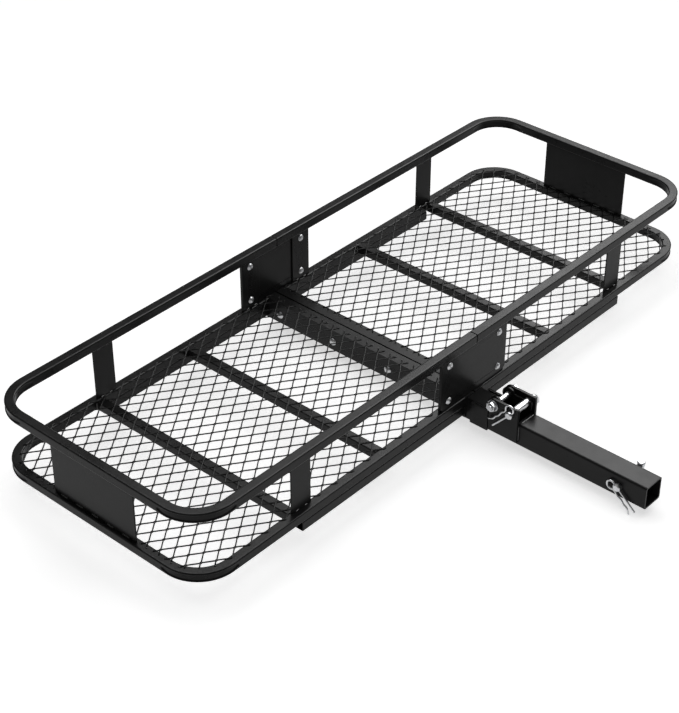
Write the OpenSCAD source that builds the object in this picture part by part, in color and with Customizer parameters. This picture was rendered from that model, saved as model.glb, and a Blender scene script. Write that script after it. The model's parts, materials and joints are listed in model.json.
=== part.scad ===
// Hitch cargo carrier: folding basket on a receiver shank.
// Millimetres, +Z up, +Y away from the vehicle, origin at the hitch pin hole on the shank axis.

/* [Basket] */
// Length of the basket across the vehicle
basket_length = 1524; // [1200:2:1600]
// Width of the basket from front rail to rear rail, outside to outside
basket_width = 552; // [450:2:650]
// Height from the underside of the bottom rail to the top of the top rail
basket_height = 155; // [120:1:200]
// Outer radius of the bent corners of the rails
corner_radius = 84; // [60:1:110]
// Gap between the two basket halves at the middle
seam_gap = 3; // [1:0.5:6]
// Distance from the hitch pin hole to the middle of the basket
basket_reach = 638.4; // [600:0.2:700]

/* [Rail tube] */
// Outside size of the square rail tube
rail = 20; // [18:0.5:25]
// Wall of the rail tube
rail_wall = 1.6; // [1.2:0.1:2.5]
// Outside corner radius of the rail tube
rail_round = 2.6; // [1:0.1:4]
// Height of the support bars under the bottom rail
support_height = 22; // [18:0.5:26]
// Distance from the middle of the basket to the end of a support bar
support_end = 500; // [400:5:600]

/* [Plates and posts] */
// Width of a corner post and of a splice post
post_width = 51; // [40:1:60]
// Thickness of posts, end plates and saddles
plate_thick = 3; // [2:0.5:5]
// Distance from the middle of the basket to the middle of a corner post
post_centre = 489; // [440:1:540]
// Width of the plate in each end of the basket
end_plate_width = 217; // [180:1:260]
// Width of the plate that joins the two halves
splice_width = 204; // [180:2:240]
// Thickness of the splice plate
splice_thick = 3.5; // [3:0.5:5]
// Distance of the front splice plate behind the outer face of the rail
splice_inset_front = 4; // [2:0.5:8]
// Distance of the rear splice plate behind the outer face of the rail
splice_inset_rear = 9; // [4:0.5:10]
// Distance from the middle to the splice bolts
splice_bolt_x = 77.5; // [70:0.5:90]

/* [Floor] */
// Distance from the middle to the inner floor bars
inner_bar = 266.5; // [220:0.5:300]
// Distance from the middle to the outer floor bars
outer_bar = 509; // [450:1:560]
// Long diagonal of a mesh opening, across the vehicle
mesh_long = 46; // [30:1:60]
// Short diagonal of a mesh opening, front to back
mesh_short = 31; // [20:1:40]
// Width of a mesh strand
strand_width = 1.8; // [1.4:0.1:4]
// Height of a mesh strand
strand_height = 1.4; // [1.2:0.1:4]

/* [Centre tube and shank] */
// Outside size of the shank and of the centre tube
shank = 50.8; // [50.8:0.1:50.8]
// Wall of the shank and of the centre tube
shank_wall = 3; // [2.5:0.1:6]
// Outside corner radius of the shank and of the centre tube
shank_round = 5; // [2:0.5:7]
// Distance from the hitch pin hole to the open end of the shank
shank_front = 60; // [45:1:90]
// Distance from the hitch pin hole to the inner end of the shank
shank_rear = 303.9; // [280:0.1:340]
// Gap between the end of the shank and the end of the centre tube
butt_gap = 0.6; // [0.4:0.1:1]
// Distance from the hitch pin hole to the rear end of the centre tube
tube_rear = 908; // [880:1:914]

/* [Hinge] */
// Distance from the hitch pin hole to the pivot
pivot_y = 293.4; // [280:0.1:310]
// Height of the pivot and of the lock pin above the shank axis
pivot_z = 45.2; // [40:0.1:55]
// Distance from the pivot to the lock pin
lock_reach = 43; // [40:0.5:50]
// Diameter of the pivot bolt
pivot_diameter = 12.7; // [10:0.1:14]
// Thickness of the hinge brackets
bracket_thick = 5.8; // [4:0.1:8]
// Thickness of the inner ears
ear_thick = 3.5; // [3:0.5:6]
// Radial clearance of the ears on the pivot bolt
running_gap = 0.08; // [0.02:0.01:0.1]

/* [Pins and bolts] */
// Diameter of the hitch pin and of the lock pin
pin_diameter = 15.9; // [12:0.1:16]
// Radial clearance of a pin in its hole
pin_gap = 0.35; // [0.3:0.05:0.6]
// Diameter of the wire of a pin clip
clip_wire = 4; // [3:0.1:5]
// Thread diameter of the saddle bolts
saddle_bolt = 10; // [8:1:12]
// Thread diameter of the splice bolts
splice_bolt = 8; // [6:1:10]

/* [Hidden] */
$fn = 64;
half_l = basket_length / 2;
half_w = basket_width / 2;
half_s = shank / 2;
low = 8.4;
deck = low + rail;
top_low = low + basket_height - rail;
post_high = top_low - deck;
saddle_x = half_s + plate_thick;
butt_y = shank_rear + butt_gap;
lock_y = pivot_y - lock_reach;
bracket_out = half_s + bracket_thick;
ear_in = half_s - shank_wall - 0.4 - ear_thick;
pin_r = pin_diameter / 2;
clip_r = clip_wire / 2;
lug = 15.2;
cap_depth = 18;
lock_hole_x = -36;
lock_clip_turn = -48.4;
hitch_hole_x = -30;
hitch_clip_turn = -139.5;
nut_gap = 0.05;
pivot_hex = 19;
chamfer = 2;
post_inset = 14;
weld_gap = 0.4;
splice_bolt_z = [low + 37.5, low + 120.2];
saddle_bolt_y = [-225, -75, 75, 225];

black = [0.06, 0.06, 0.065];
zinc = [0.74, 0.75, 0.77];

// Square with round corners
module soft_square(w, h, r) {
    square([w - 2 * r, h], center = true);
    square([w, h - 2 * r], center = true);
    for (x = [-1, 1], y = [-1, 1])
        translate([x * (w / 2 - r), y * (h / 2 - r)]) circle(r);
}

// Section of a tube
module tube_section(w, h, wall, r) {
    difference() {
        soft_square(w, h, r);
        soft_square(w - 2 * wall, h - 2 * wall, r - wall * 0.6);
    }
}

// Square tube along Y
module tube_y(y0, y1, w, h, wall, r) {
    translate([0, y1, 0]) rotate([90, 0, 0]) linear_extrude(y1 - y0)
        tube_section(w, h, wall, r);
}

// Square tube along X
module tube_x(x0, x1, w, h, wall, r) {
    translate([x0, 0, 0]) rotate([90, 0, 90]) linear_extrude(x1 - x0)
        tube_section(w, h, wall, r);
}

// Flat plate across X, from a profile drawn in Y and Z
module sheet_x(x, t) {
    translate([x, 0, 0]) rotate([90, 0, 90]) linear_extrude(t) children();
}

// Half of a rail: a U from the middle, round the right end and back
module rail_half(z, start) {
    bend = corner_radius - rail / 2;
    for (s = [-1, 1])
        translate([0, basket_reach + s * (half_w - rail / 2), z + rail / 2])
            tube_x(start, half_l - corner_radius, rail, rail, rail_wall, rail_round);
    for (s = [-1, 1])
        translate([half_l - corner_radius, basket_reach + s * (half_w - corner_radius), z + rail / 2])
            rotate([0, 0, s < 0 ? -90 : 0]) rotate_extrude(angle = 90) translate([bend, 0])
                tube_section(rail, rail, rail_wall, rail_round);
    translate([half_l - rail / 2, 0, z + rail / 2])
        tube_y(basket_reach - half_w + corner_radius, basket_reach + half_w - corner_radius,
            rail, rail, rail_wall, rail_round);
}

// Outline of a floor mesh panel
module panel_outline(x0, x1) {
    r = corner_radius - 12;
    hy = half_w - 13;
    translate([x0, -hy]) square([x1 - r - x0, 2 * hy]);
    translate([x1 - r, -hy + r]) square([r, 2 * hy - 2 * r]);
    for (s = [-1, 1]) translate([x1 - r, s * (hy - r)]) circle(r);
}

// One mesh opening
module diamond() {
    k = norm([mesh_long, mesh_short]) * strand_width / 2;
    a = mesh_long / 2 - k / mesh_short;
    b = mesh_short / 2 - k / mesh_long;
    polygon([[a, 0], [0, b], [-a, 0], [0, -b]]);
}

// Rectangle cut from the edge of a panel, clear of a post or plate standing there
module edge_cut(x, y, w, h) {
    translate([x, y]) square([w + 2 * weld_gap, h + 2 * weld_gap], center = true);
}

// Floor mesh panel on the right-hand side
module mesh_half(x0) {
    x1 = half_l - 10;
    cols = ceil((x1 - x0) / mesh_long);
    rows = ceil(half_w / mesh_short);
    post_y = half_w - post_inset + 3;
    splice_x = splice_width / 2 - post_width / 2;
    translate([0, basket_reach, deck]) linear_extrude(strand_height) difference() {
        panel_outline(x0, x1);
        for (s = [-1, 1]) edge_cut(post_centre, s * post_y, post_width, 12);
        edge_cut(splice_x, half_w - splice_inset_rear, post_width, 13);
        edge_cut(half_l - rail / 2 + 3, 0, plate_thick + 6, end_plate_width);
        for (i = [0 : cols], j = [-rows : rows])
            translate([x0 + 12 + i * mesh_long, j * mesh_short]) diamond();
        for (i = [0 : cols], j = [-rows : rows - 1])
            translate([x0 + 12 + (i - 0.5) * mesh_long, (j + 0.5) * mesh_short]) diamond();
    }
}

module corner_post(sx, sy) {
    y = basket_reach + sy * (half_w - post_inset - plate_thick / 2);
    color(black) translate([sx * post_centre, y, deck + post_high / 2])
        cube([post_width, plate_thick, post_high], center = true);
}

// Splice post with its two bolt holes
module splice_post(sx, sy) {
    inset = sy < 0 ? splice_inset_front + splice_thick : splice_inset_rear + splice_thick;
    y = basket_reach + sy * (half_w - inset - plate_thick / 2);
    x = sx * (splice_width / 2 - post_width / 2);
    color(black) difference() {
        translate([x, y, deck + post_high / 2])
            cube([post_width, plate_thick, post_high], center = true);
        splice_holes(sx, y);
    }
}

// Two bolt holes at one end of a splice plate
module splice_holes(sx, y) {
    for (z = splice_bolt_z)
        translate([sx * splice_bolt_x, y, z]) rotate([90, 0, 0])
            cylinder(h = 20, r = splice_bolt / 2 + 0.2, center = true);
}

// Plate across the seam, with its lower corners cut off
module splice_plate(sy) {
    inset = sy < 0 ? splice_inset_front : splice_inset_rear;
    y = basket_reach + sy * (half_w - inset - splice_thick / 2);
    w = splice_width / 2;
    cut = 8;
    color(black) difference() {
        translate([0, y + splice_thick / 2, 0]) rotate([90, 0, 0]) linear_extrude(splice_thick)
            polygon([[cut - w, deck], [w - cut, deck], [w, deck + cut], [w, top_low],
                [-w, top_low], [-w, deck + cut]]);
        for (s = [-1, 1]) splice_holes(s, y);
    }
}

// Hex nut along +Z with its hole
module hex_nut(across, high, bore) {
    difference() {
        cylinder(h = high, r = across / 2 / cos(30), $fn = 6);
        translate([0, 0, -1]) cylinder(h = high + 2, r = bore);
    }
}

// Rounded bolt head along +Z
module round_head(r, high) {
    big = (r * r + high * high) / (2 * high);
    intersection() {
        translate([0, 0, high - big]) sphere(big);
        cylinder(h = high, r = r);
    }
}

// Bolt with a round head at the origin and its shank along -Z
module round_bolt(d, head_r, head_h, long) {
    round_head(head_r, head_h);
    translate([0, 0, -long]) cylinder(h = long + 0.5, r = d / 2);
}

// Bent pin along X: clip end at x0, bend at x1, handle turned round the pin from upright
module bent_pin(x0, x1, hole_x, tilt, turn) {
    bend = 12;
    handle = 1;
    tip_r = pin_r - chamfer;
    difference() {
        union() {
            translate([x0 + chamfer, 0, 0]) rotate([0, 90, 0])
                cylinder(h = x1 - x0 - chamfer, r = pin_r);
            translate([x0, 0, 0]) rotate([0, 90, 0]) cylinder(h = chamfer, r1 = tip_r, r2 = pin_r);
        }
        translate([hole_x, 0, 0]) rotate([tilt + 90, 0, 0])
            cylinder(h = 40, r = clip_r + 0.35, center = true);
    }
    rotate([turn, 0, 0]) {
        translate([x1, 0, bend]) rotate([90, 0, 0]) rotate([0, 0, -90])
            rotate_extrude(angle = 90) translate([bend, 0]) circle(pin_r);
        translate([x1 + bend, 0, bend]) cylinder(h = handle, r = pin_r);
        translate([x1 + bend, 0, bend + handle]) cylinder(h = chamfer, r1 = pin_r, r2 = tip_r);
    }
}

// Bend of wire, turning left for a positive angle; what follows starts at its end
module bend(r, a) {
    side = sign(a);
    translate([0, side * r, 0]) rotate([0, 0, side > 0 ? -90 : 90 + a])
        rotate_extrude(angle = abs(a)) translate([r, 0]) circle(clip_r);
    translate([r * sin(abs(a)), side * r * (1 - cos(a)), 0]) rotate([0, 0, a]) children();
}

// Straight run of wire; what follows starts at its end
module run(long) {
    lap = 0.2;
    translate([-lap, 0, 0]) rotate([0, 90, 0]) cylinder(h = long + 2 * lap, r = clip_r - 0.1);
    translate([long, 0, 0]) children();
}

// Pin clip of bent wire, pin at the origin, straight leg along +X
module clip() {
    leg = 56;
    translate([leg, 0, 0]) rotate([0, 0, 180])
        run(leg + 10) bend(9, -230) run(2) bend(6.7, 50) run(1)
            bend(14, 14) run(3) bend(14, -28) run(5) bend(12, 28) run(3)
                bend(14, -28) run(2) bend(10, 44) run(8);
}

// Clip placed across a pin: turn is its direction in the Y-Z plane
module placed_clip(x, y, z, turn) {
    color(zinc) translate([x, y, z]) rotate([turn, 0, 0]) rotate([90, 0, 90]) clip();
}

// Shank with its pin hole, and its top wall cut away at the back for the ears
module receiver_shank() {
    slot_y = lock_y - 12;
    slot_z = 15;
    slot_wide = shank - 2 * shank_wall;
    color(black) difference() {
        tube_y(-shank_front, shank_rear, shank, shank, shank_wall, shank_round);
        translate([-slot_wide / 2, slot_y, slot_z]) cube([slot_wide, shank_rear - slot_y + 1, 20]);
        rotate([0, 90, 0]) cylinder(h = 2 * shank, r = pin_r + pin_gap, center = true);
    }
}

// Plate on the side of the shank that carries the pivot bolt and the lock pin
module hinge_bracket(sx) {
    front = lock_y - 17;
    back = shank_rear - 1.5;
    foot = -17.1;
    x = sx < 0 ? -bracket_out : half_s;
    color(black) sheet_x(x, bracket_thick) difference() {
        union() {
            translate([front, foot]) square([back - front, pivot_z - foot]);
            translate([front, pivot_z]) square([pivot_y - front, lug]);
            translate([pivot_y, pivot_z]) circle(lug);
        }
        translate([pivot_y, pivot_z]) circle(pivot_diameter / 2 + running_gap);
        translate([lock_y, pivot_z]) circle(pin_r + pin_gap);
    }
}

// Hex bolt through both brackets and both ears
module pivot_bolt() {
    long = 2 * bracket_out + 14;
    color(zinc) translate([bracket_out + 1.8, pivot_y, pivot_z]) rotate([0, 90, 0]) {
        cylinder(h = 8, r = pivot_hex / 2 / cos(30), $fn = 6);
        translate([0, 0, -long]) cylinder(h = long + 0.5, r = pivot_diameter / 2);
    }
}

module pivot_nut() {
    color(zinc) translate([-bracket_out - 9.2, pivot_y, pivot_z]) rotate([0, 90, 0])
        hex_nut(pivot_hex, 7.4, pivot_diameter / 2 + nut_gap);
}

module pivot_washers() {
    thick = 1.6;
    color(zinc) for (x = [-bracket_out - 0.1 - thick, bracket_out + 0.1])
        translate([x, pivot_y, pivot_z]) rotate([0, 90, 0]) difference() {
            cylinder(h = thick, r = 12.5);
            translate([0, 0, -1]) cylinder(h = thick + 2, r = pivot_diameter / 2 + 0.1);
        }
}

module lock_pin() {
    color(zinc) translate([0, lock_y, pivot_z]) bent_pin(-41, 37, lock_hole_x, lock_clip_turn, 180);
}

module lock_pin_clip() {
    placed_clip(lock_hole_x, lock_y, pivot_z, lock_clip_turn);
}

module hitch_pin() {
    color(zinc) bent_pin(-35, 37, hitch_hole_x, hitch_clip_turn, 0);
}

module hitch_pin_clip() {
    placed_clip(hitch_hole_x, 0, 0, hitch_clip_turn);
}

module centre_tube() {
    color(black) difference() {
        tube_y(butt_y, tube_rear, shank, shank, shank_wall, shank_round);
        for (y = saddle_bolt_y) translate([0, basket_reach + y, 0]) rotate([0, 90, 0])
            cylinder(h = 2 * shank, r = saddle_bolt / 2 + 0.5, center = true);
    }
}

// Plug in the open end of the centre tube
module centre_tube_cap() {
    inner = shank - 2 * shank_wall - 0.2;
    face = 2.5;
    color(black) translate([0, tube_rear, 0]) rotate([90, 0, 0]) {
        linear_extrude(cap_depth) soft_square(inner, inner, 3);
        translate([0, 0, -face]) linear_extrude(face) soft_square(shank, shank, shank_round);
    }
}

// Plate on the side of the centre tube, behind the bracket
module hinge_cheek(sx) {
    x = sx < 0 ? -bracket_out : half_s;
    color(black) sheet_x(x, bracket_thick) translate([butt_y + 0.4, -22.2]) square([42.5, 47.6]);
}

// Ear inside the tubes: a foot in the centre tube, a lug on the pivot bolt and an arm that
// reaches forward and hooks up under the lock pin
module hinge_ear(sx) {
    x = sx < 0 ? -ear_in - ear_thick : ear_in;
    foot_y = pivot_y - 9.4;
    foot_z = -8;
    hook_gap = pin_r + 0.65;
    color(black) sheet_x(x, ear_thick) difference() {
        union() {
            translate([foot_y, foot_z]) square([74, 27.5]);
            translate([foot_y, foot_z]) square([19.6, 40]);
            translate([pivot_y, pivot_z]) circle(lug);
            intersection() {
                translate([pivot_y, pivot_z]) circle(lock_reach + 13);
                translate([pivot_y - 60, pivot_z - 15]) square([60, 20]);
            }
        }
        translate([pivot_y, pivot_z]) circle(pivot_diameter / 2 + running_gap);
        translate([lock_y, pivot_z]) circle(pin_r + 0.4);
        intersection() {
            difference() {
                translate([pivot_y, pivot_z]) circle(lock_reach + hook_gap);
                translate([pivot_y, pivot_z]) circle(lock_reach - hook_gap);
            }
            translate([pivot_y - 60, pivot_z]) square([60, 60]);
        }
    }
}

// Angle that carries one basket half: a flange over the centre tube and a web beside it
module saddle(sx) {
    flange = saddle_x - seam_gap / 2;
    web_low = -20.5;
    flange_x = sx < 0 ? -saddle_x : seam_gap / 2;
    web_x = sx < 0 ? -saddle_x : half_s;
    color(black) difference() {
        translate([0, basket_reach + half_w, 0]) rotate([90, 0, 0]) linear_extrude(basket_width) {
            translate([flange_x, deck - plate_thick]) square([flange, plate_thick]);
            translate([web_x, web_low]) square([plate_thick, deck - web_low]);
        }
        for (y = saddle_bolt_y) translate([0, basket_reach + y, 0]) rotate([0, 90, 0])
            cylinder(h = 2 * shank, r = saddle_bolt / 2 + 0.3, center = true);
    }
}

module saddle_bolts() {
    color(zinc) for (y = saddle_bolt_y)
        translate([-saddle_x, basket_reach + y, 0]) rotate([0, -90, 0])
            round_bolt(saddle_bolt, 9, 5, 2 * saddle_x + 12);
}

module saddle_nuts() {
    color(zinc) for (y = saddle_bolt_y)
        translate([saddle_x, basket_reach + y, 0]) rotate([0, 90, 0])
            hex_nut(16, 8, saddle_bolt / 2 + nut_gap);
}

module splice_bolts() {
    front = basket_reach - half_w + splice_inset_front;
    rear = basket_reach + half_w - splice_inset_rear - splice_thick - plate_thick;
    color(zinc) for (x = [-1, 1], z = splice_bolt_z, y = [front, rear])
        translate([x * splice_bolt_x, y, z]) rotate([90, 0, 0])
            round_bolt(splice_bolt, 7.8, 4, splice_thick + plate_thick + 9);
}

module splice_nuts() {
    front = basket_reach - half_w + splice_inset_front + splice_thick + plate_thick;
    rear = basket_reach + half_w - splice_inset_rear;
    nut = 6.5;
    color(zinc) for (x = [-1, 1], z = splice_bolt_z, y = [front, rear])
        translate([x * splice_bolt_x, y + nut, z]) rotate([90, 0, 0])
            hex_nut(13, nut, splice_bolt / 2 + nut_gap);
}

module end_plate(sx) {
    color(black) translate([sx * (half_l - rail / 2), basket_reach, deck + post_high / 2])
        cube([plate_thick, end_plate_width, post_high], center = true);
}

module floor_bar(x) {
    color(black) translate([x, 0, low + rail / 2])
        tube_y(basket_reach - half_w + rail, basket_reach + half_w - rail,
            rail, rail, rail_wall, rail_round);
}

module support_bar(sx, sy) {
    color(black) translate([0, basket_reach + sy * (half_w - rail / 2), low - support_height / 2])
        mirror([sx < 0 ? 1 : 0, 0, 0])
            tube_x(saddle_x, support_end, rail, support_height, rail_wall, rail_round);
}

module left_side() {
    mirror([1, 0, 0]) children();
}

receiver_shank();
hinge_bracket(-1);  // left_hinge_bracket
hinge_bracket(1);  // right_hinge_bracket
pivot_bolt();
pivot_nut();
pivot_washers();
lock_pin();
lock_pin_clip();
hitch_pin();
hitch_pin_clip();
centre_tube();
centre_tube_cap();
hinge_cheek(-1);  // left_hinge_cheek
hinge_cheek(1);  // right_hinge_cheek
hinge_ear(-1);  // left_hinge_ear
hinge_ear(1);  // right_hinge_ear
saddle(-1);  // left_saddle
saddle(1);  // right_saddle
saddle_bolts();
saddle_nuts();
color(black) left_side() rail_half(low, saddle_x);  // left_bottom_rail
color(black) rail_half(low, saddle_x);  // right_bottom_rail
color(black) left_side() rail_half(top_low, seam_gap / 2);  // left_top_rail
color(black) rail_half(top_low, seam_gap / 2);  // right_top_rail
corner_post(-1, -1);  // front_left_post
corner_post(1, -1);  // front_right_post
corner_post(-1, 1);  // rear_left_post
corner_post(1, 1);  // rear_right_post
splice_post(-1, -1);  // front_left_splice_post
splice_post(1, -1);  // front_right_splice_post
splice_post(-1, 1);  // rear_left_splice_post
splice_post(1, 1);  // rear_right_splice_post
splice_plate(-1);  // front_splice_plate
splice_plate(1);  // rear_splice_plate
splice_bolts();
splice_nuts();
end_plate(-1);  // left_end_plate
end_plate(1);  // right_end_plate
floor_bar(-outer_bar);  // left_outer_floor_bar
floor_bar(-inner_bar);  // left_inner_floor_bar
floor_bar(inner_bar);  // right_inner_floor_bar
floor_bar(outer_bar);  // right_outer_floor_bar
color(black) left_side() mesh_half(14);  // left_floor_mesh
color(black) mesh_half(20);  // right_floor_mesh
support_bar(-1, -1);  // front_left_support_bar
support_bar(1, -1);  // front_right_support_bar
support_bar(-1, 1);  // rear_left_support_bar
support_bar(1, 1);  // rear_right_support_bar
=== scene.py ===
"""Hitch cargo carrier: the looks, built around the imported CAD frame."""
import json
import math

import bmesh
import bpy
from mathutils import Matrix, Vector


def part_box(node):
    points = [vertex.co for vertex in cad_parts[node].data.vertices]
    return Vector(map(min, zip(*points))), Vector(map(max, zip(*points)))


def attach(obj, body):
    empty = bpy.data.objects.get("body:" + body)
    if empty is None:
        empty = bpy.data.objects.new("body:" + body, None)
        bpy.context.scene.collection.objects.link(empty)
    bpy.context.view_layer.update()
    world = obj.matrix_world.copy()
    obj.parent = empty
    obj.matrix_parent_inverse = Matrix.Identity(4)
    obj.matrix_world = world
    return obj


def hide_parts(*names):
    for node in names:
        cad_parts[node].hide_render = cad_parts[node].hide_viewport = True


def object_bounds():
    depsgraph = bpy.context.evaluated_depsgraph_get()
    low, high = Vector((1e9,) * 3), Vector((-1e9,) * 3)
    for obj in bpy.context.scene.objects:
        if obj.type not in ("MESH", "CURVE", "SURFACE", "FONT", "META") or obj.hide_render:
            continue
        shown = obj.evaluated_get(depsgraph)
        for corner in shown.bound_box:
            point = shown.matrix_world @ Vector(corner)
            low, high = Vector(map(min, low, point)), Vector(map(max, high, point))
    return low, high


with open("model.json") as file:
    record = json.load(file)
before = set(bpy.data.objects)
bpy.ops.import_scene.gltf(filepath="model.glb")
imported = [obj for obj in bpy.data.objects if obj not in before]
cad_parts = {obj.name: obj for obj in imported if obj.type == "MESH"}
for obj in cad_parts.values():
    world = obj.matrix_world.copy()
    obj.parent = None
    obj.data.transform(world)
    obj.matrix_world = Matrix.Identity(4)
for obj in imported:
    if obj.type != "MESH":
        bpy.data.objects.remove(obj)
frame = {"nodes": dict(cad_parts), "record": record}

CAD_BOX = [list(corner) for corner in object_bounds()]
NODES = frame["nodes"]
MM = 0.001


def low(node):
    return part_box(node)[0]


def high(node):
    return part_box(node)[1]


# ---------------------------------------------------------------- sizes, some read from the frame, the rest given
RAIL_SIZE = high("right_top_rail").z - low("right_top_rail").z
DECK = high("right_bottom_rail").z
HALF_LENGTH = high("right_top_rail").x
BASKET_FRONT = low("right_top_rail").y
BASKET_REAR = high("right_top_rail").y
BASKET_MID = (BASKET_FRONT + BASKET_REAR) / 2
HALF_WIDTH = (BASKET_REAR - BASKET_FRONT) / 2
CORNER_RADIUS = 84 * MM
TUBE_ROUND = 2.6 * MM
TUBE_WALL = 1.6 * MM
MESH_LONG = 46 * MM
MESH_SHORT = 31 * MM
STRAND_WIDTH = 2.2 * MM
POST_WIDTH = high("rear_right_post").x - low("rear_right_post").x
POST_X = high("rear_right_post").x - POST_WIDTH / 2
END_PLATE_HALF = high("right_end_plate").y - BASKET_MID
SPLICE_HALF = high("rear_splice_plate").x
WELD_GAP = 0.4 * MM
PANEL_INSET = 13 * MM
PANEL_CORNER_INSET = 12 * MM
POST_NOTCH = 17 * MM
SPLICE_NOTCH = 15.5 * MM
END_PLATE_NOTCH = 11.5 * MM
GROOVE_REACH = 7.2 * MM
GROOVE_DEPTH = 2.0 * MM
GROOVE_LEAD = 0.12

# ---------------------------------------------------------------- camera
CAMERA_AZIMUTH = math.radians(-48.32)
CAMERA_ELEVATION = math.radians(35.31)
CAMERA_DISTANCE = 3.7147
CAMERA_LENS = 90.87
CAMERA_AIM = Vector((-0.0493, BASKET_MID + 0.0370, -0.0089))


def make_camera():
    data = bpy.data.cameras.new("camera")
    data.lens = CAMERA_LENS
    data.clip_start = 0.05
    data.clip_end = 60
    camera = bpy.data.objects.new("camera", data)
    bpy.context.scene.collection.objects.link(camera)
    a, e = CAMERA_AZIMUTH, CAMERA_ELEVATION
    back = Vector((math.sin(a) * math.cos(e), -math.cos(a) * math.cos(e), math.sin(e)))
    camera.location = CAMERA_AIM + back * CAMERA_DISTANCE
    camera.rotation_mode = "QUATERNION"
    camera.rotation_quaternion = (-back).to_track_quat("-Z", "Y")
    bpy.context.scene.camera = camera


make_camera()


# ---------------------------------------------------------------- materials
def blank_material(name):
    material = bpy.data.materials.new(name)
    material.use_nodes = True
    tree = material.node_tree
    tree.nodes.clear()
    output = tree.nodes.new("ShaderNodeOutputMaterial")
    shader = tree.nodes.new("ShaderNodeBsdfPrincipled")
    tree.links.new(shader.outputs[0], output.inputs[0])
    return material, tree, shader


def noise(tree, coordinates, scale, detail=3.0, rough=0.55, distortion=0.0):
    node = tree.nodes.new("ShaderNodeTexNoise")
    node.inputs["Scale"].default_value = scale
    node.inputs["Detail"].default_value = detail
    node.inputs["Roughness"].default_value = rough
    node.inputs["Distortion"].default_value = distortion
    tree.links.new(coordinates, node.inputs["Vector"])
    return node.outputs["Fac"]


def ramp(tree, value, stops):
    node = tree.nodes.new("ShaderNodeValToRGB")
    elements = node.color_ramp.elements
    while len(elements) < len(stops):
        elements.new(0.5)
    for element, (place, shade) in zip(elements, stops):
        element.position = place
        element.color = shade if len(shade) == 4 else (*shade, 1)
    tree.links.new(value, node.inputs[0])
    return node.outputs[0]


def grey(value):
    return (value, value, value)


def mix(tree, factor, a, b, kind="MIX"):
    node = tree.nodes.new("ShaderNodeMix")
    node.data_type = "RGBA"
    node.blend_type = kind
    for socket, value in ((node.inputs[0], factor), (node.inputs[6], a), (node.inputs[7], b)):
        if isinstance(value, (int, float)):
            socket.default_value = value
        elif isinstance(value, tuple):
            socket.default_value = (*value, 1)
        else:
            tree.links.new(value, socket)
    return node.outputs[2]


def bump(tree, shader, height, strength, distance, under=None):
    node = tree.nodes.new("ShaderNodeBump")
    node.inputs["Strength"].default_value = strength
    node.inputs["Distance"].default_value = distance
    tree.links.new(height, node.inputs["Height"])
    if under is not None:
        tree.links.new(under, node.inputs["Normal"])
    tree.links.new(node.outputs[0], shader.inputs["Normal"])
    return node.outputs[0]


def powder_coat(name, tone=0.006, gloss=0.27, peel=0.35, dust=0.012, shine=0.10):
    """Semi-gloss black powder coat: fine orange peel, faint dust and soft gloss changes."""
    material, tree, shader = blank_material(name)
    place = tree.nodes.new("ShaderNodeTexCoord").outputs["Object"]
    clouds = noise(tree, place, 9, 4)
    specks = noise(tree, place, 420, 2)
    scuffs = noise(tree, place, 38, 6, 0.7, 0.6)
    tint = ramp(tree, clouds, ((0.3, grey(tone * 0.75)), (0.7, grey(tone * 1.35))))
    dusty = ramp(tree, scuffs, ((0.60, grey(0)), (0.86, grey(0.5))))
    tint = mix(tree, dusty, tint, (dust * 1.03, dust, dust * 0.96))
    grains = ramp(tree, specks, ((0.66, grey(0)), (0.80, grey(0.35))))
    tint = mix(tree, grains, tint, grey(dust * 1.4))
    tree.links.new(tint, shader.inputs["Base Color"])
    rough = ramp(tree, mix(tree, 0.5, clouds, scuffs),
                 ((0.25, grey(gloss * 0.8)), (0.75, grey(gloss * 1.3))))
    tree.links.new(rough, shader.inputs["Roughness"])
    shader.inputs["Specular IOR Level"].default_value = shine
    flow = bump(tree, shader, noise(tree, place, 55, 2), 0.10, 0.0006)
    bump(tree, shader, noise(tree, place, 650, 2), peel, 0.00006, flow)
    return material


def zinc_plate(name, tone, gloss, brush=(1, 1, 1)):
    """Bright zinc: cool metal with cloudy passivation, fine brushing and tiny pits."""
    material, tree, shader = blank_material(name)
    place = tree.nodes.new("ShaderNodeTexCoord").outputs["Object"]
    stretch = tree.nodes.new("ShaderNodeMapping")
    stretch.inputs["Scale"].default_value = brush
    tree.links.new(place, stretch.inputs["Vector"])
    clouds = noise(tree, place, 160, 4)
    lines = noise(tree, stretch.outputs[0], 900, 3)
    pits = noise(tree, place, 1500, 1)
    shade = ramp(tree, clouds, ((0.3, (tone * 0.86, tone * 0.88, tone * 0.93)),
                                (0.7, (tone * 1.08, tone * 1.08, tone * 1.07))))
    spots = ramp(tree, pits, ((0.68, grey(0)), (0.78, grey(0.5))))
    shade = mix(tree, spots, shade, grey(tone * 0.45))
    tree.links.new(shade, shader.inputs["Base Color"])
    rough = ramp(tree, mix(tree, 0.5, clouds, lines),
                 ((0.3, grey(gloss * 0.7)), (0.7, grey(gloss * 1.6))))
    tree.links.new(rough, shader.inputs["Roughness"])
    shader.inputs["Metallic"].default_value = 1.0
    bump(tree, shader, lines, 0.25, 0.00005)
    return material


def moulded_plastic(name):
    """Matt black moulded plastic with a fine spark-eroded grain."""
    material, tree, shader = blank_material(name)
    place = tree.nodes.new("ShaderNodeTexCoord").outputs["Object"]
    grain = noise(tree, place, 900, 2)
    clouds = noise(tree, place, 30, 3)
    tree.links.new(ramp(tree, clouds, ((0.3, grey(0.010)), (0.7, grey(0.018)))),
                   shader.inputs["Base Color"])
    tree.links.new(ramp(tree, grain, ((0.3, grey(0.45)), (0.7, grey(0.62)))),
                   shader.inputs["Roughness"])
    bump(tree, shader, grain, 0.5, 0.0001)
    return material


FLOOR_GLOW = 0.62
FLOOR_GAP = 2 * MM
WORLD_STRENGTH = 0.12


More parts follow.
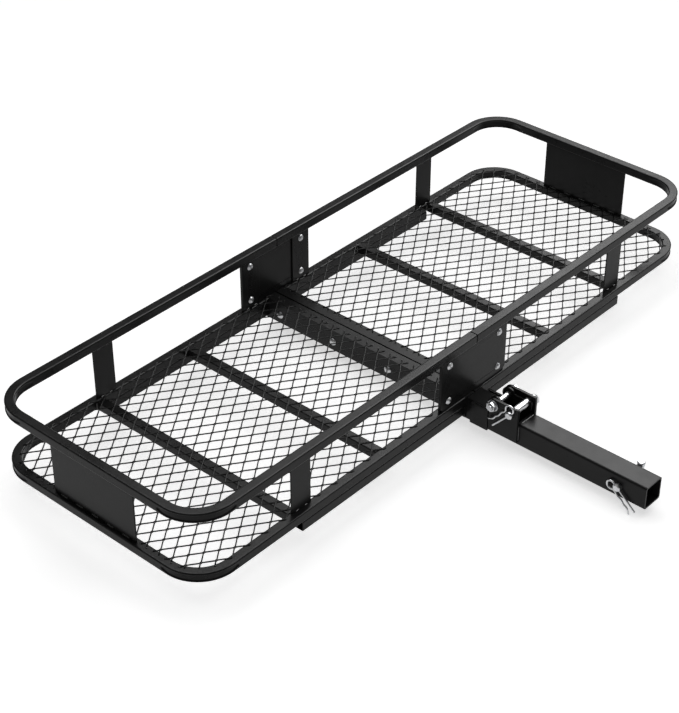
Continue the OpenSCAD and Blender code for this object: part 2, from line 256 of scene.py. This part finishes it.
def studio_floor(name):
    """Pale floor that glows a little, like a light table, so that shadows on it stay faint."""
    material, tree, shader = blank_material(name)
    place = tree.nodes.new("ShaderNodeTexCoord").outputs["Object"]
    tree.links.new(ramp(tree, noise(tree, place, 1.5, 2), ((0.3, grey(0.90)), (0.7, grey(0.92)))),
                   shader.inputs["Base Color"])
    shader.inputs["Roughness"].default_value = 0.9
    shader.inputs["Specular IOR Level"].default_value = 0.1
    shader.inputs["Emission Color"].default_value = (1, 1, 1, 1)
    shader.inputs["Emission Strength"].default_value = FLOOR_GLOW
    return material


COATED_RAIL = powder_coat("coated_rail")
COATED_TUBE = powder_coat("coated_tube", 0.007, 0.30, 0.45)
COATED_PLATE = powder_coat("coated_plate", 0.008, 0.30, 0.4)
COATED_MESH = powder_coat("coated_mesh", 0.008, 0.30, 0.3)
WELDED = powder_coat("coated_weld", 0.010, 0.12, 0.2, 0.03, 0.5)
ZINC_FASTENER = zinc_plate("zinc_fastener", 0.47, 0.30)
ZINC_PIN = zinc_plate("zinc_pin", 0.52, 0.28, (0.08, 1, 1))
SPRING_WIRE = zinc_plate("spring_wire", 0.55, 0.26)
PLASTIC = moulded_plastic("plastic_cap")

MATERIAL_OF_SLOT = {
    "coated_rail": COATED_RAIL,
    "coated_tube": COATED_TUBE,
    "coated_plate": COATED_PLATE,
    "coated_mesh": COATED_MESH,
    "zinc_fastener": ZINC_FASTENER,
    "zinc_pin": ZINC_PIN,
    "spring_wire": SPRING_WIRE,
    "plastic_cap": PLASTIC,
}


# ---------------------------------------------------------------- carried-over CAD nodes
def finish_cad_node(node, slot_name):
    """Merged, softly bevelled and smoothly shaded, with its own procedural material."""
    mesh = node.data
    if "custom_normal" in mesh.attributes:
        mesh.attributes.remove(mesh.attributes["custom_normal"])
    mesh.polygons.foreach_set("use_smooth", [True] * len(mesh.polygons))
    mesh.materials.clear()
    mesh.materials.append(MATERIAL_OF_SLOT[slot_name])
    weld = node.modifiers.new("weld", "WELD")
    weld.merge_threshold = 0.000005
    bevel = node.modifiers.new("bevel", "BEVEL")
    bevel.limit_method = "ANGLE"
    bevel.angle_limit = math.radians(32)
    bevel.width = 0.0005
    bevel.segments = 2
    weighted = node.modifiers.new("weighted", "WEIGHTED_NORMAL")
    weighted.keep_sharp = True


for part in frame["record"]["subparts"]:
    finish_cad_node(NODES[part["node"]], part["material_slot"])


# ---------------------------------------------------------------- mesh helpers
def make_piece(name, mesh_data, material, body, slot_name, *stands_for):
    piece = bpy.data.objects.new(name, mesh_data)
    bpy.context.scene.collection.objects.link(piece)
    mesh_data.materials.append(material)
    mesh_data.polygons.foreach_set("use_smooth", [True] * len(mesh_data.polygons))
    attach(piece, body)
    if stands_for:
        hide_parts(*stands_for)
    return piece


def add_tube(bm, rings, close_start=True, close_end=True):
    """Skins a list of rings of points and closes its ends."""
    made = [[bm.verts.new(point) for point in ring] for ring in rings]
    count = len(made[0])
    for a, b in zip(made, made[1:]):
        for i in range(count):
            j = (i + 1) % count
            bm.faces.new((a[i], a[j], b[j], b[i]))
    if close_start:
        bm.faces.new(list(reversed(made[0])))
    if close_end:
        bm.faces.new(made[-1])
    return made


def to_mesh(bm, name):
    bmesh.ops.recalc_face_normals(bm, faces=bm.faces)
    mesh = bpy.data.meshes.new(name)
    bm.to_mesh(mesh)
    bm.free()
    return mesh


# ---------------------------------------------------------------- rails with pressed bends
def rail_section(side, face_steps=20, arc_steps=4):
    """Points round a soft square, as (outward, up), starting on the outer face."""
    half = side / 2
    flat = half - TUBE_ROUND
    points = []
    for corner in range(4):
        angle = corner * math.pi / 2
        outward = Vector((math.cos(angle), math.sin(angle)))
        along = Vector((-math.sin(angle), math.cos(angle)))
        for i in range(face_steps + 1):
            points.append(outward * half + along * flat * (2 * i / face_steps - 1))
        centre = outward * flat + along * flat
        for i in range(1, arc_steps):
            turn = angle + math.pi / 2 * i / arc_steps
            points.append(centre + Vector((math.cos(turn), math.sin(turn))) * TUBE_ROUND)
    return points


def smooth_step(value):
    value = min(max(value, 0.0), 1.0)
    return value * value * (3 - 2 * value)


def dish(outward, up, place, half_size):
    """How far a point of the section is pressed in at a place from 0 to 1 along a bend."""
    run = min(place, 1 - place) + GROOVE_LEAD
    if run <= 0 or abs(outward) < half_size * 0.9:
        return 0.0
    opening = math.sqrt(max(0.0, 1 - (1 - min(run / 0.30, 1.0)) ** 2))
    reach = max(opening * GROOVE_REACH, 1e-6)
    wall = smooth_step((1 - abs(up) / reach) / 0.3)
    depth = GROOVE_DEPTH * wall * smooth_step(opening / 0.4)
    return depth if outward > 0 else -0.5 * depth


def rail_stations(start, side):
    """Places along one half of a rail as (x, y, outward x, outward y, place in the bend)."""
    bend = CORNER_RADIUS - RAIL_SIZE / 2
    straight_x = HALF_LENGTH - CORNER_RADIUS
    centre_y = HALF_WIDTH - CORNER_RADIUS
    line_y = HALF_WIDTH - RAIL_SIZE / 2
    lead = GROOVE_LEAD * bend * math.pi / 2
    stations = []
    for sign in (-1, 1):
        part = []
        for i in range(9):
            x = start + (straight_x - lead - start) * i / 8
            part.append((x, sign * line_y, 0.0, sign, -1.0))
        for i in range(1, 7):
            x = straight_x - lead + lead * i / 6
            part.append((x, sign * line_y, 0.0, sign, -GROOVE_LEAD * (1 - i / 6)))
        for i in range(1, 37):
            turn = math.pi / 2 * i / 36
            out = Vector((math.sin(turn), sign * math.cos(turn)))
            centre = Vector((straight_x, sign * centre_y))
            point = centre + out * bend
            part.append((point.x, point.y, out.x, out.y, i / 36))
        for i in range(1, 7):
            y = sign * (centre_y - lead * i / 6)
            part.append((straight_x + bend, y, 1.0, 0.0, 1 + GROOVE_LEAD * i / 6))
        if sign < 0:
            stations += part
            for i in range(1, 6):
                y = -(centre_y - lead) * (1 - 2 * i / 6)
                stations.append((straight_x + bend, y, 1.0, 0.0, -1.0))
        else:
            stations += reversed(part)
    return [(side * x, BASKET_MID + y, side * ox, oy, place) for x, y, ox, oy, place in stations]


def build_rail(node, side):
    start = low(node).x if side > 0 else -high(node).x
    middle_z = (low(node).z + high(node).z) / 2
    section = rail_section(RAIL_SIZE)
    half = RAIL_SIZE / 2
    rings = []
    for x, y, out_x, out_y, place in rail_stations(start, side):
        ring = []
        for outward, up in section:
            depth = outward - dish(outward, up, place, half)
            ring.append(Vector((x + out_x * depth, y + out_y * depth, middle_z + up)))
        rings.append(ring)
    bore = (RAIL_SIZE / 2 - TUBE_WALL) / (RAIL_SIZE / 2)

    def bore_ring(ring, shift):
        centre = sum(ring, Vector()) / len(ring)
        return [centre + (point - centre) * bore + Vector((side * shift, 0, 0)) for point in ring]

    rings = ([bore_ring(rings[0], 18 * MM), bore_ring(rings[0], 0)] + rings
             + [bore_ring(rings[-1], 0), bore_ring(rings[-1], 18 * MM)])
    bm = bmesh.new()
    add_tube(bm, rings)
    piece = make_piece(node + "_skin", to_mesh(bm, node), COATED_RAIL, "basket", "coated_rail", node)
    piece.modifiers.new("weighted", "WEIGHTED_NORMAL")
    return piece


for level in ("bottom", "top"):
    build_rail(f"left_{level}_rail", -1)
    build_rail(f"right_{level}_rail", 1)


# ---------------------------------------------------------------- expanded mesh floor
def beside_upright(x, y):
    """True in the notches of the panel edge where posts and end plates stand."""
    if abs(x - POST_X) < POST_WIDTH / 2 + WELD_GAP:
        return abs(y) > HALF_WIDTH - POST_NOTCH - WELD_GAP
    if SPLICE_HALF - POST_WIDTH - WELD_GAP < x < SPLICE_HALF + WELD_GAP:
        return y > HALF_WIDTH - SPLICE_NOTCH - WELD_GAP
    return x > HALF_LENGTH - END_PLATE_NOTCH - WELD_GAP and abs(y) < END_PLATE_HALF + WELD_GAP


def inside_panel(x, y, inner, outer):
    """True where a floor panel has metal; x is measured away from the middle."""
    radius = CORNER_RADIUS - PANEL_CORNER_INSET
    reach = HALF_WIDTH - PANEL_INSET
    if x < inner or x > outer or abs(y) > reach or beside_upright(x, y):
        return False
    dx, dy = x - (outer - radius), abs(y) - (reach - radius)
    return not (dx > 0 and dy > 0 and dx * dx + dy * dy > radius * radius)


def strand_path(row, origin, inner, outer):
    """Points of one zigzag strand, with a short flat run at each knuckle."""
    flat = 2.2 * MM
    points = []
    steps = int((outer - inner) / (MESH_LONG / 2)) + 4
    for m in range(-2, steps):
        on_low_side = (m + row) % 2 == 1
        n = row if on_low_side else row + 1
        y = n / 2 * MESH_SHORT + (0.42 if on_low_side else -0.42) * STRAND_WIDTH
        x = origin + m / 2 * MESH_LONG
        points += [(x - flat, y), (x + flat, y)]
    fine = []
    for (x0, y0), (x1, y1) in zip(points, points[1:]):
        pieces = 6
        fine += [(x0 + (x1 - x0) * i / pieces, y0 + (y1 - y0) * i / pieces) for i in range(pieces)]
    kept, runs = [], []
    for x, y in fine:
        if inside_panel(x, y, inner, outer):
            kept.append((x, y))
        elif kept:
            runs.append(kept)
            kept = []
    if kept:
        runs.append(kept)
    return [run for run in runs if len(run) > 2]


def straight_points_dropped(run):
    kept = [run[0]]
    for before, here, after in zip(run, run[1:], run[2:]):
        turn = ((here[0] - before[0]) * (after[1] - here[1])
                - (here[1] - before[1]) * (after[0] - here[0]))
        if abs(turn) > 1e-10:
            kept.append(here)
    kept.append(run[-1])
    return kept


def add_strand(bm, run, side, base, top):
    lean = 0.2 * MM
    half = STRAND_WIDTH / 2
    profile = ((-half - lean, base), (half - lean, base), (half + lean * 0.4, (base + top) / 2),
               (half + lean, top), (-half + lean, top), (-half - lean * 0.4, (base + top) / 2))
    rings = []
    for i, (x, y) in enumerate(run):
        before = run[max(i - 1, 0)]
        after = run[min(i + 1, len(run) - 1)]
        run_x, run_y = after[0] - before[0], after[1] - before[1]
        spread = min(math.hypot(run_x, run_y) / max(abs(run_x), 1e-9), 1.5)
        rings.append([Vector((side * x, BASKET_MID + y + across * spread, z))
                      for across, z in profile])
    add_tube(bm, rings)


def build_floor_mesh(node, side):
    inner = low(node).x if side > 0 else -high(node).x
    outer = high(node).x if side > 0 else -low(node).x
    base, top = low(node).z, high(node).z
    origin = inner + 12 * MM
    rows = math.ceil(HALF_WIDTH / MESH_SHORT * 2) + 2
    bm = bmesh.new()
    ends = []
    for row in range(-rows, rows):
        for run in strand_path(row, origin, inner, outer):
            run = straight_points_dropped(run)
            add_strand(bm, run, side, base, top)
            ends += [run[0], run[-1]]
    make_piece(node + "_strands", to_mesh(bm, node), COATED_MESH, "basket", "coated_mesh", node)
    return [(side * x, BASKET_MID + y) for x, y in ends]


MESH_ENDS = {
    "left": build_floor_mesh("left_floor_mesh", -1),
    "right": build_floor_mesh("right_floor_mesh", 1),
}


# ---------------------------------------------------------------- welds
def add_blob(bm, centre, size, squash, spin):
    """A small drop of weld: a rounded, slightly lopsided cap."""
    rings, ring_points = 4, 8
    top = bm.verts.new(centre + Vector((0, 0, size * squash)))
    previous = None
    for i in range(1, rings + 1):
        tilt = math.pi / 2 * i / rings
        ring = []
        for k in range(ring_points):
            turn = 2 * math.pi * k / ring_points + spin
            wobble = 1 + 0.12 * math.sin(2 * turn + spin * 3)
            out = size * math.sin(tilt) * wobble
            ring.append(bm.verts.new(centre + Vector(
                (out * math.cos(turn), out * math.sin(turn), size * squash * math.cos(tilt)))))
        for k in range(ring_points):
            j = (k + 1) % ring_points
            if previous is None:
                bm.faces.new((top, ring[k], ring[j]))
            else:
                bm.faces.new((previous[k], ring[k], ring[j], previous[j]))
        previous = ring
    bm.faces.new(list(reversed(previous)))


def build_mesh_welds(side_name, ends):
    """Drops of weld where the cut ends of the mesh meet the frame."""
    bm = bmesh.new()
    for i, (x, y) in enumerate(ends):
        spin = i * 2.399
        add_blob(bm, Vector((x, y, DECK)), (1.6 + 0.3 * math.sin(spin)) * MM, 0.9, spin)
    make_piece(side_name + "_mesh_welds", to_mesh(bm, side_name + "_mesh_welds"), WELDED,
               "basket", "coated_mesh")


for side_name, ends in MESH_ENDS.items():
    build_mesh_welds(side_name, ends)


BEAD_STEP = 0.55 * MM
BEAD_RIPPLE = 2.2 * MM
BEAD_TAPER = 4 * MM


def add_bead(bm, start, end, size):
    """A rippled fillet weld from start to end."""
    along = end - start
    length = along.length
    along.normalize()
    helper = Vector((0, 0, 1)) if abs(along.z) < 0.9 else Vector((1, 0, 0))
    side = along.cross(helper).normalized()
    up = side.cross(along)
    steps = max(8, int(length / BEAD_STEP))
    rings = []
    for i in range(steps + 1):
        s = i / steps
        taper = math.sin(math.pi * min(min(s, 1 - s) * length / BEAD_TAPER, 0.5))
        ripple = 1 + 0.16 * abs(math.sin(math.pi * s * length / BEAD_RIPPLE))
        radius = size * (0.25 + 0.75 * taper) * ripple
        centre = start + along * (length * s)
        rings.append([centre + (side * math.cos(t) + up * math.sin(t)) * radius
                      for t in (k * math.pi / 4 for k in range(8))])
    add_tube(bm, rings)


def stitches(bm, start, end, size, count, fill=0.45):
    """Evenly spaced short beads along a line."""
    for i in range(count):
        a = (i + 0.5 - fill / 2) / count
        b = (i + 0.5 + fill / 2) / count
        add_bead(bm, start.lerp(end, a), start.lerp(end, b), size)


def plate_welds(bm, node, across):
    """Stitches along the foot and the head of an upright plate, on both faces."""
    a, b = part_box(node)
    size = 1.5 * MM
    for z in (a.z + 0.6 * MM, b.z - 0.6 * MM):
        if across == "x":
            for y in (a.y, b.y):
                stitches(bm, Vector((a.x + 3 * MM, y, z)), Vector((b.x - 3 * MM, y, z)), size, 2)
        else:
            for x in (a.x, b.x):
                stitches(bm, Vector((x, a.y + 6 * MM, z)), Vector((x, b.y - 6 * MM, z)), size, 5)


def build_frame_welds():
    bm = bmesh.new()
    for name in ("front_left_post", "front_right_post", "rear_left_post", "rear_right_post",
                 "front_left_splice_post", "front_right_splice_post",
                 "rear_left_splice_post", "rear_right_splice_post"):
        plate_welds(bm, name, "x")
    for name in ("left_end_plate", "right_end_plate"):
        plate_welds(bm, name, "y")
    for name in ("left_outer_floor_bar", "left_inner_floor_bar",
                 "right_inner_floor_bar", "right_outer_floor_bar"):
        a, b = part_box(name)
        for y, step in ((a.y, 1), (b.y, -1)):
            y += step * 0.3 * MM
            for x in (a.x, b.x):
                add_bead(bm, Vector((x, y, a.z + 2 * MM)), Vector((x, y, b.z - 2 * MM)), 1.4 * MM)
            add_bead(bm, Vector((a.x + 2 * MM, y, a.z)), Vector((b.x - 2 * MM, y, a.z)), 1.2 * MM)
    for name, outer in (("left_hinge_cheek", -1), ("right_hinge_cheek", 1)):
        a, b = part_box(name)
        x = a.x if outer > 0 else b.x
        add_bead(bm, Vector((x, a.y + 3 * MM, b.z)), Vector((x, b.y - 3 * MM, b.z)), 1.5 * MM)
    make_piece("frame_welds", to_mesh(bm, "frame_welds"), WELDED, "basket", "coated_plate")


def build_hinge_welds():
    """Beads that join the brackets to the shank, and one across the shank in front of them."""
    bm = bmesh.new()
    shank = high("receiver_shank")
    for name, outer in (("left_hinge_bracket", -1), ("right_hinge_bracket", 1)):
        a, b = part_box(name)
        x = a.x if outer > 0 else b.x
        front = a.y
        add_bead(bm, Vector((x, front, a.z + 4 * MM)), Vector((x, front, shank.z - 4 * MM)), 1.6 * MM)
        add_bead(bm, Vector((x, front + 4 * MM, a.z)), Vector((x, shank.y - 6 * MM, a.z)), 1.6 * MM)
    across = 20 * MM
    add_bead(bm, Vector((-across, front - 2 * MM, shank.z)),
             Vector((across, front - 2 * MM, shank.z)), 1.1 * MM)
    make_piece("hinge_welds", to_mesh(bm, "hinge_welds"), WELDED, "shank", "coated_plate")


build_frame_welds()
build_hinge_welds()


# ---------------------------------------------------------------- pin clips of bent wire
CLIP_LEG = 56 * MM
CLIP_WIRE_RADIUS = 1.95 * MM
CLIP_PATH = ((66, 0), (9, -230), (2, 0), (6.7, 50), (1, 0), (14, 14), (3, 0), (14, -28),
             (5, 0), (12, 28), (3, 0), (14, -28), (2, 0), (10, 44), (8, 0))


def wire_path():
    """The clip's centre line in its own plane, pin at the origin: runs and bends in turn."""
    point = Vector((CLIP_LEG, 0))
    heading = math.pi
    path = [point.copy()]
    for size, turn in CLIP_PATH:
        size *= MM
        if turn == 0:
            point = point + Vector((math.cos(heading), math.sin(heading))) * size
            path.append(point.copy())
            continue
        side = 1 if turn > 0 else -1
        centre = point + Vector((-math.sin(heading), math.cos(heading))) * side * size
        steps = max(4, int(abs(turn) / 7))
        for _ in range(steps):
            heading += math.radians(turn) / steps
            point = centre + Vector((math.sin(heading), -math.cos(heading))) * side * size
            path.append(point.copy())
    return path


def build_clip(node, body, pin_node, direction):
    """Wire of true round section along the clip's path, with domed ends."""
    box_low, box_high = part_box(node)
    centre = Vector(((box_low.x + box_high.x) / 2, pin_axis(pin_node).y, pin_axis(pin_node).z))
    turn = math.radians(direction)
    u_axis = Vector((0, math.cos(turn), math.sin(turn)))
    v_axis = Vector((0, -math.sin(turn), math.cos(turn)))
    radius = CLIP_WIRE_RADIUS
    path = [centre + u_axis * p.x + v_axis * p.y for p in wire_path()]
    across = Vector((1, 0, 0))
    rings = []
    for i, point in enumerate(path):
        tangent = (path[min(i + 1, len(path) - 1)] - path[max(i - 1, 0)]).normalized()
        flat = tangent.cross(across).normalized()
        rings.append([point + (across * math.cos(t) + flat * math.sin(t)) * radius
                      for t in (k * math.pi / 6 for k in range(12))])

    def dome(ring, point, tangent):
        caps = []
        for lift, width in ((0.5, 0.86), (0.85, 0.5)):
            caps.append([point + (p - point) * width + tangent * radius * lift for p in ring])
        return caps

    first = (path[0] - path[1]).normalized()
    last = (path[-1] - path[-2]).normalized()
    rings = list(reversed(dome(rings[0], path[0], first))) + rings + dome(rings[-1], path[-1], last)
    bm = bmesh.new()
    add_tube(bm, rings)
    make_piece(node + "_wire", to_mesh(bm, node), SPRING_WIRE, body, "spring_wire", node)


def pin_axis(node):
    """The middle of a bent pin's straight length, from the vertices near its clip end."""
    limit = low(node).x + 8 * MM
    points = [v.co for v in NODES[node].data.vertices if v.co.x < limit]
    y = (min(p.y for p in points) + max(p.y for p in points)) / 2
    z = (min(p.z for p in points) + max(p.z for p in points)) / 2
    return Vector((0, y, z))


build_clip("lock_pin_clip", "lock_clip", "lock_pin", -48.4)
build_clip("hitch_pin_clip", "hitch_clip", "hitch_pin", -139.5)


# ---------------------------------------------------------------- studio
def make_floor():
    bm = bmesh.new()
    bmesh.ops.create_grid(bm, x_segments=2, y_segments=2, size=14)
    mesh = bpy.data.meshes.new("floor")
    bm.to_mesh(mesh)
    bm.free()
    floor = bpy.data.objects.new("floor", mesh)
    floor.location = (0, BASKET_MID, CAD_BOX[0][2] - FLOOR_GAP)
    bpy.context.scene.collection.objects.link(floor)
    mesh.materials.append(studio_floor("studio_floor"))


def area_light(name, azimuth, elevation, distance, width, height, radiance, lights_floor=True):
    """A soft box seen from the basket at a compass direction and height, facing it."""
    aim = Vector((0, BASKET_MID, DECK))
    a, e = math.radians(azimuth), math.radians(elevation)
    towards = Vector((math.cos(a) * math.cos(e), math.sin(a) * math.cos(e), math.sin(e)))
    data = bpy.data.lights.new(name, "AREA")
    data.shape = "RECTANGLE"
    data.size = width
    data.size_y = height
    data.energy = radiance * math.pi * width * height
    light = bpy.data.objects.new(name, data)
    light.location = aim + towards * distance
    light.rotation_mode = "QUATERNION"
    light.rotation_quaternion = (-towards).to_track_quat("-Z", "Y")
    light.visible_diffuse = lights_floor
    bpy.context.scene.collection.objects.link(light)


def make_world():
    world = bpy.data.worlds.new("studio")
    world.use_nodes = True
    background = world.node_tree.nodes["Background"]
    background.inputs["Color"].default_value = (1, 1, 1, 1)
    background.inputs["Strength"].default_value = WORLD_STRENGTH
    bpy.context.scene.world = world


make_floor()
make_world()
area_light("overhead", 90, 88, 3.2, 4.5, 4.5, 1.1)
area_light("side_box", -1, 46, 8.0, 9.2, 4.5, 10.0, lights_floor=False)
area_light("edge_box", 66, 58, 8.0, 3.0, 2.0, 12.0, lights_floor=False)
bpy.context.scene.view_settings.view_transform = "Standard"
